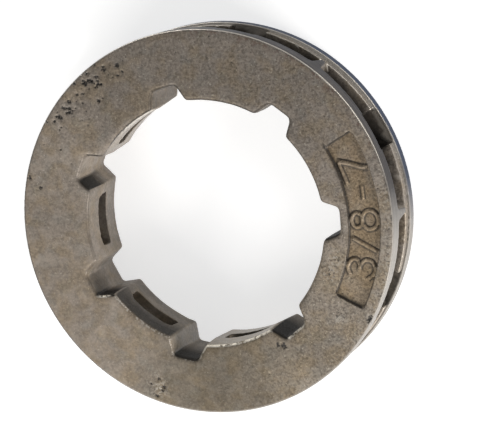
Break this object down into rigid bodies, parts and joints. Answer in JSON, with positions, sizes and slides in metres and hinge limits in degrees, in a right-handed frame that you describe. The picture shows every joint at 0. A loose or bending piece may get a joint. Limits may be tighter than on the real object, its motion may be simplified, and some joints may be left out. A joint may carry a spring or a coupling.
{
  "type": "chainsaw rim sprocket",
  "caption": "Cast steel chainsaw rim sprocket: a flat splined ring with a chain groove, teeth and chip windows round its rim and a recessed size panel on one face.",
  "frame": {"origin": "on the bore axis, in the plane of the back face that the ring lies on", "axes": "+Z along the bore axis towards the marked face; +X through a tooth, the spline notch under it and the middle of the marking panel"},
  "size_m": [0.0364, 0.0364, 0.0082],
  "materials": {
    "cast_steel": "as-cast brown-grey steel with a fine grain, the rim's rails ground smooth"
  },
  "bodies": {
    "root": {"rim_sprocket": "cast_steel"}
  },
  "joints": []
}
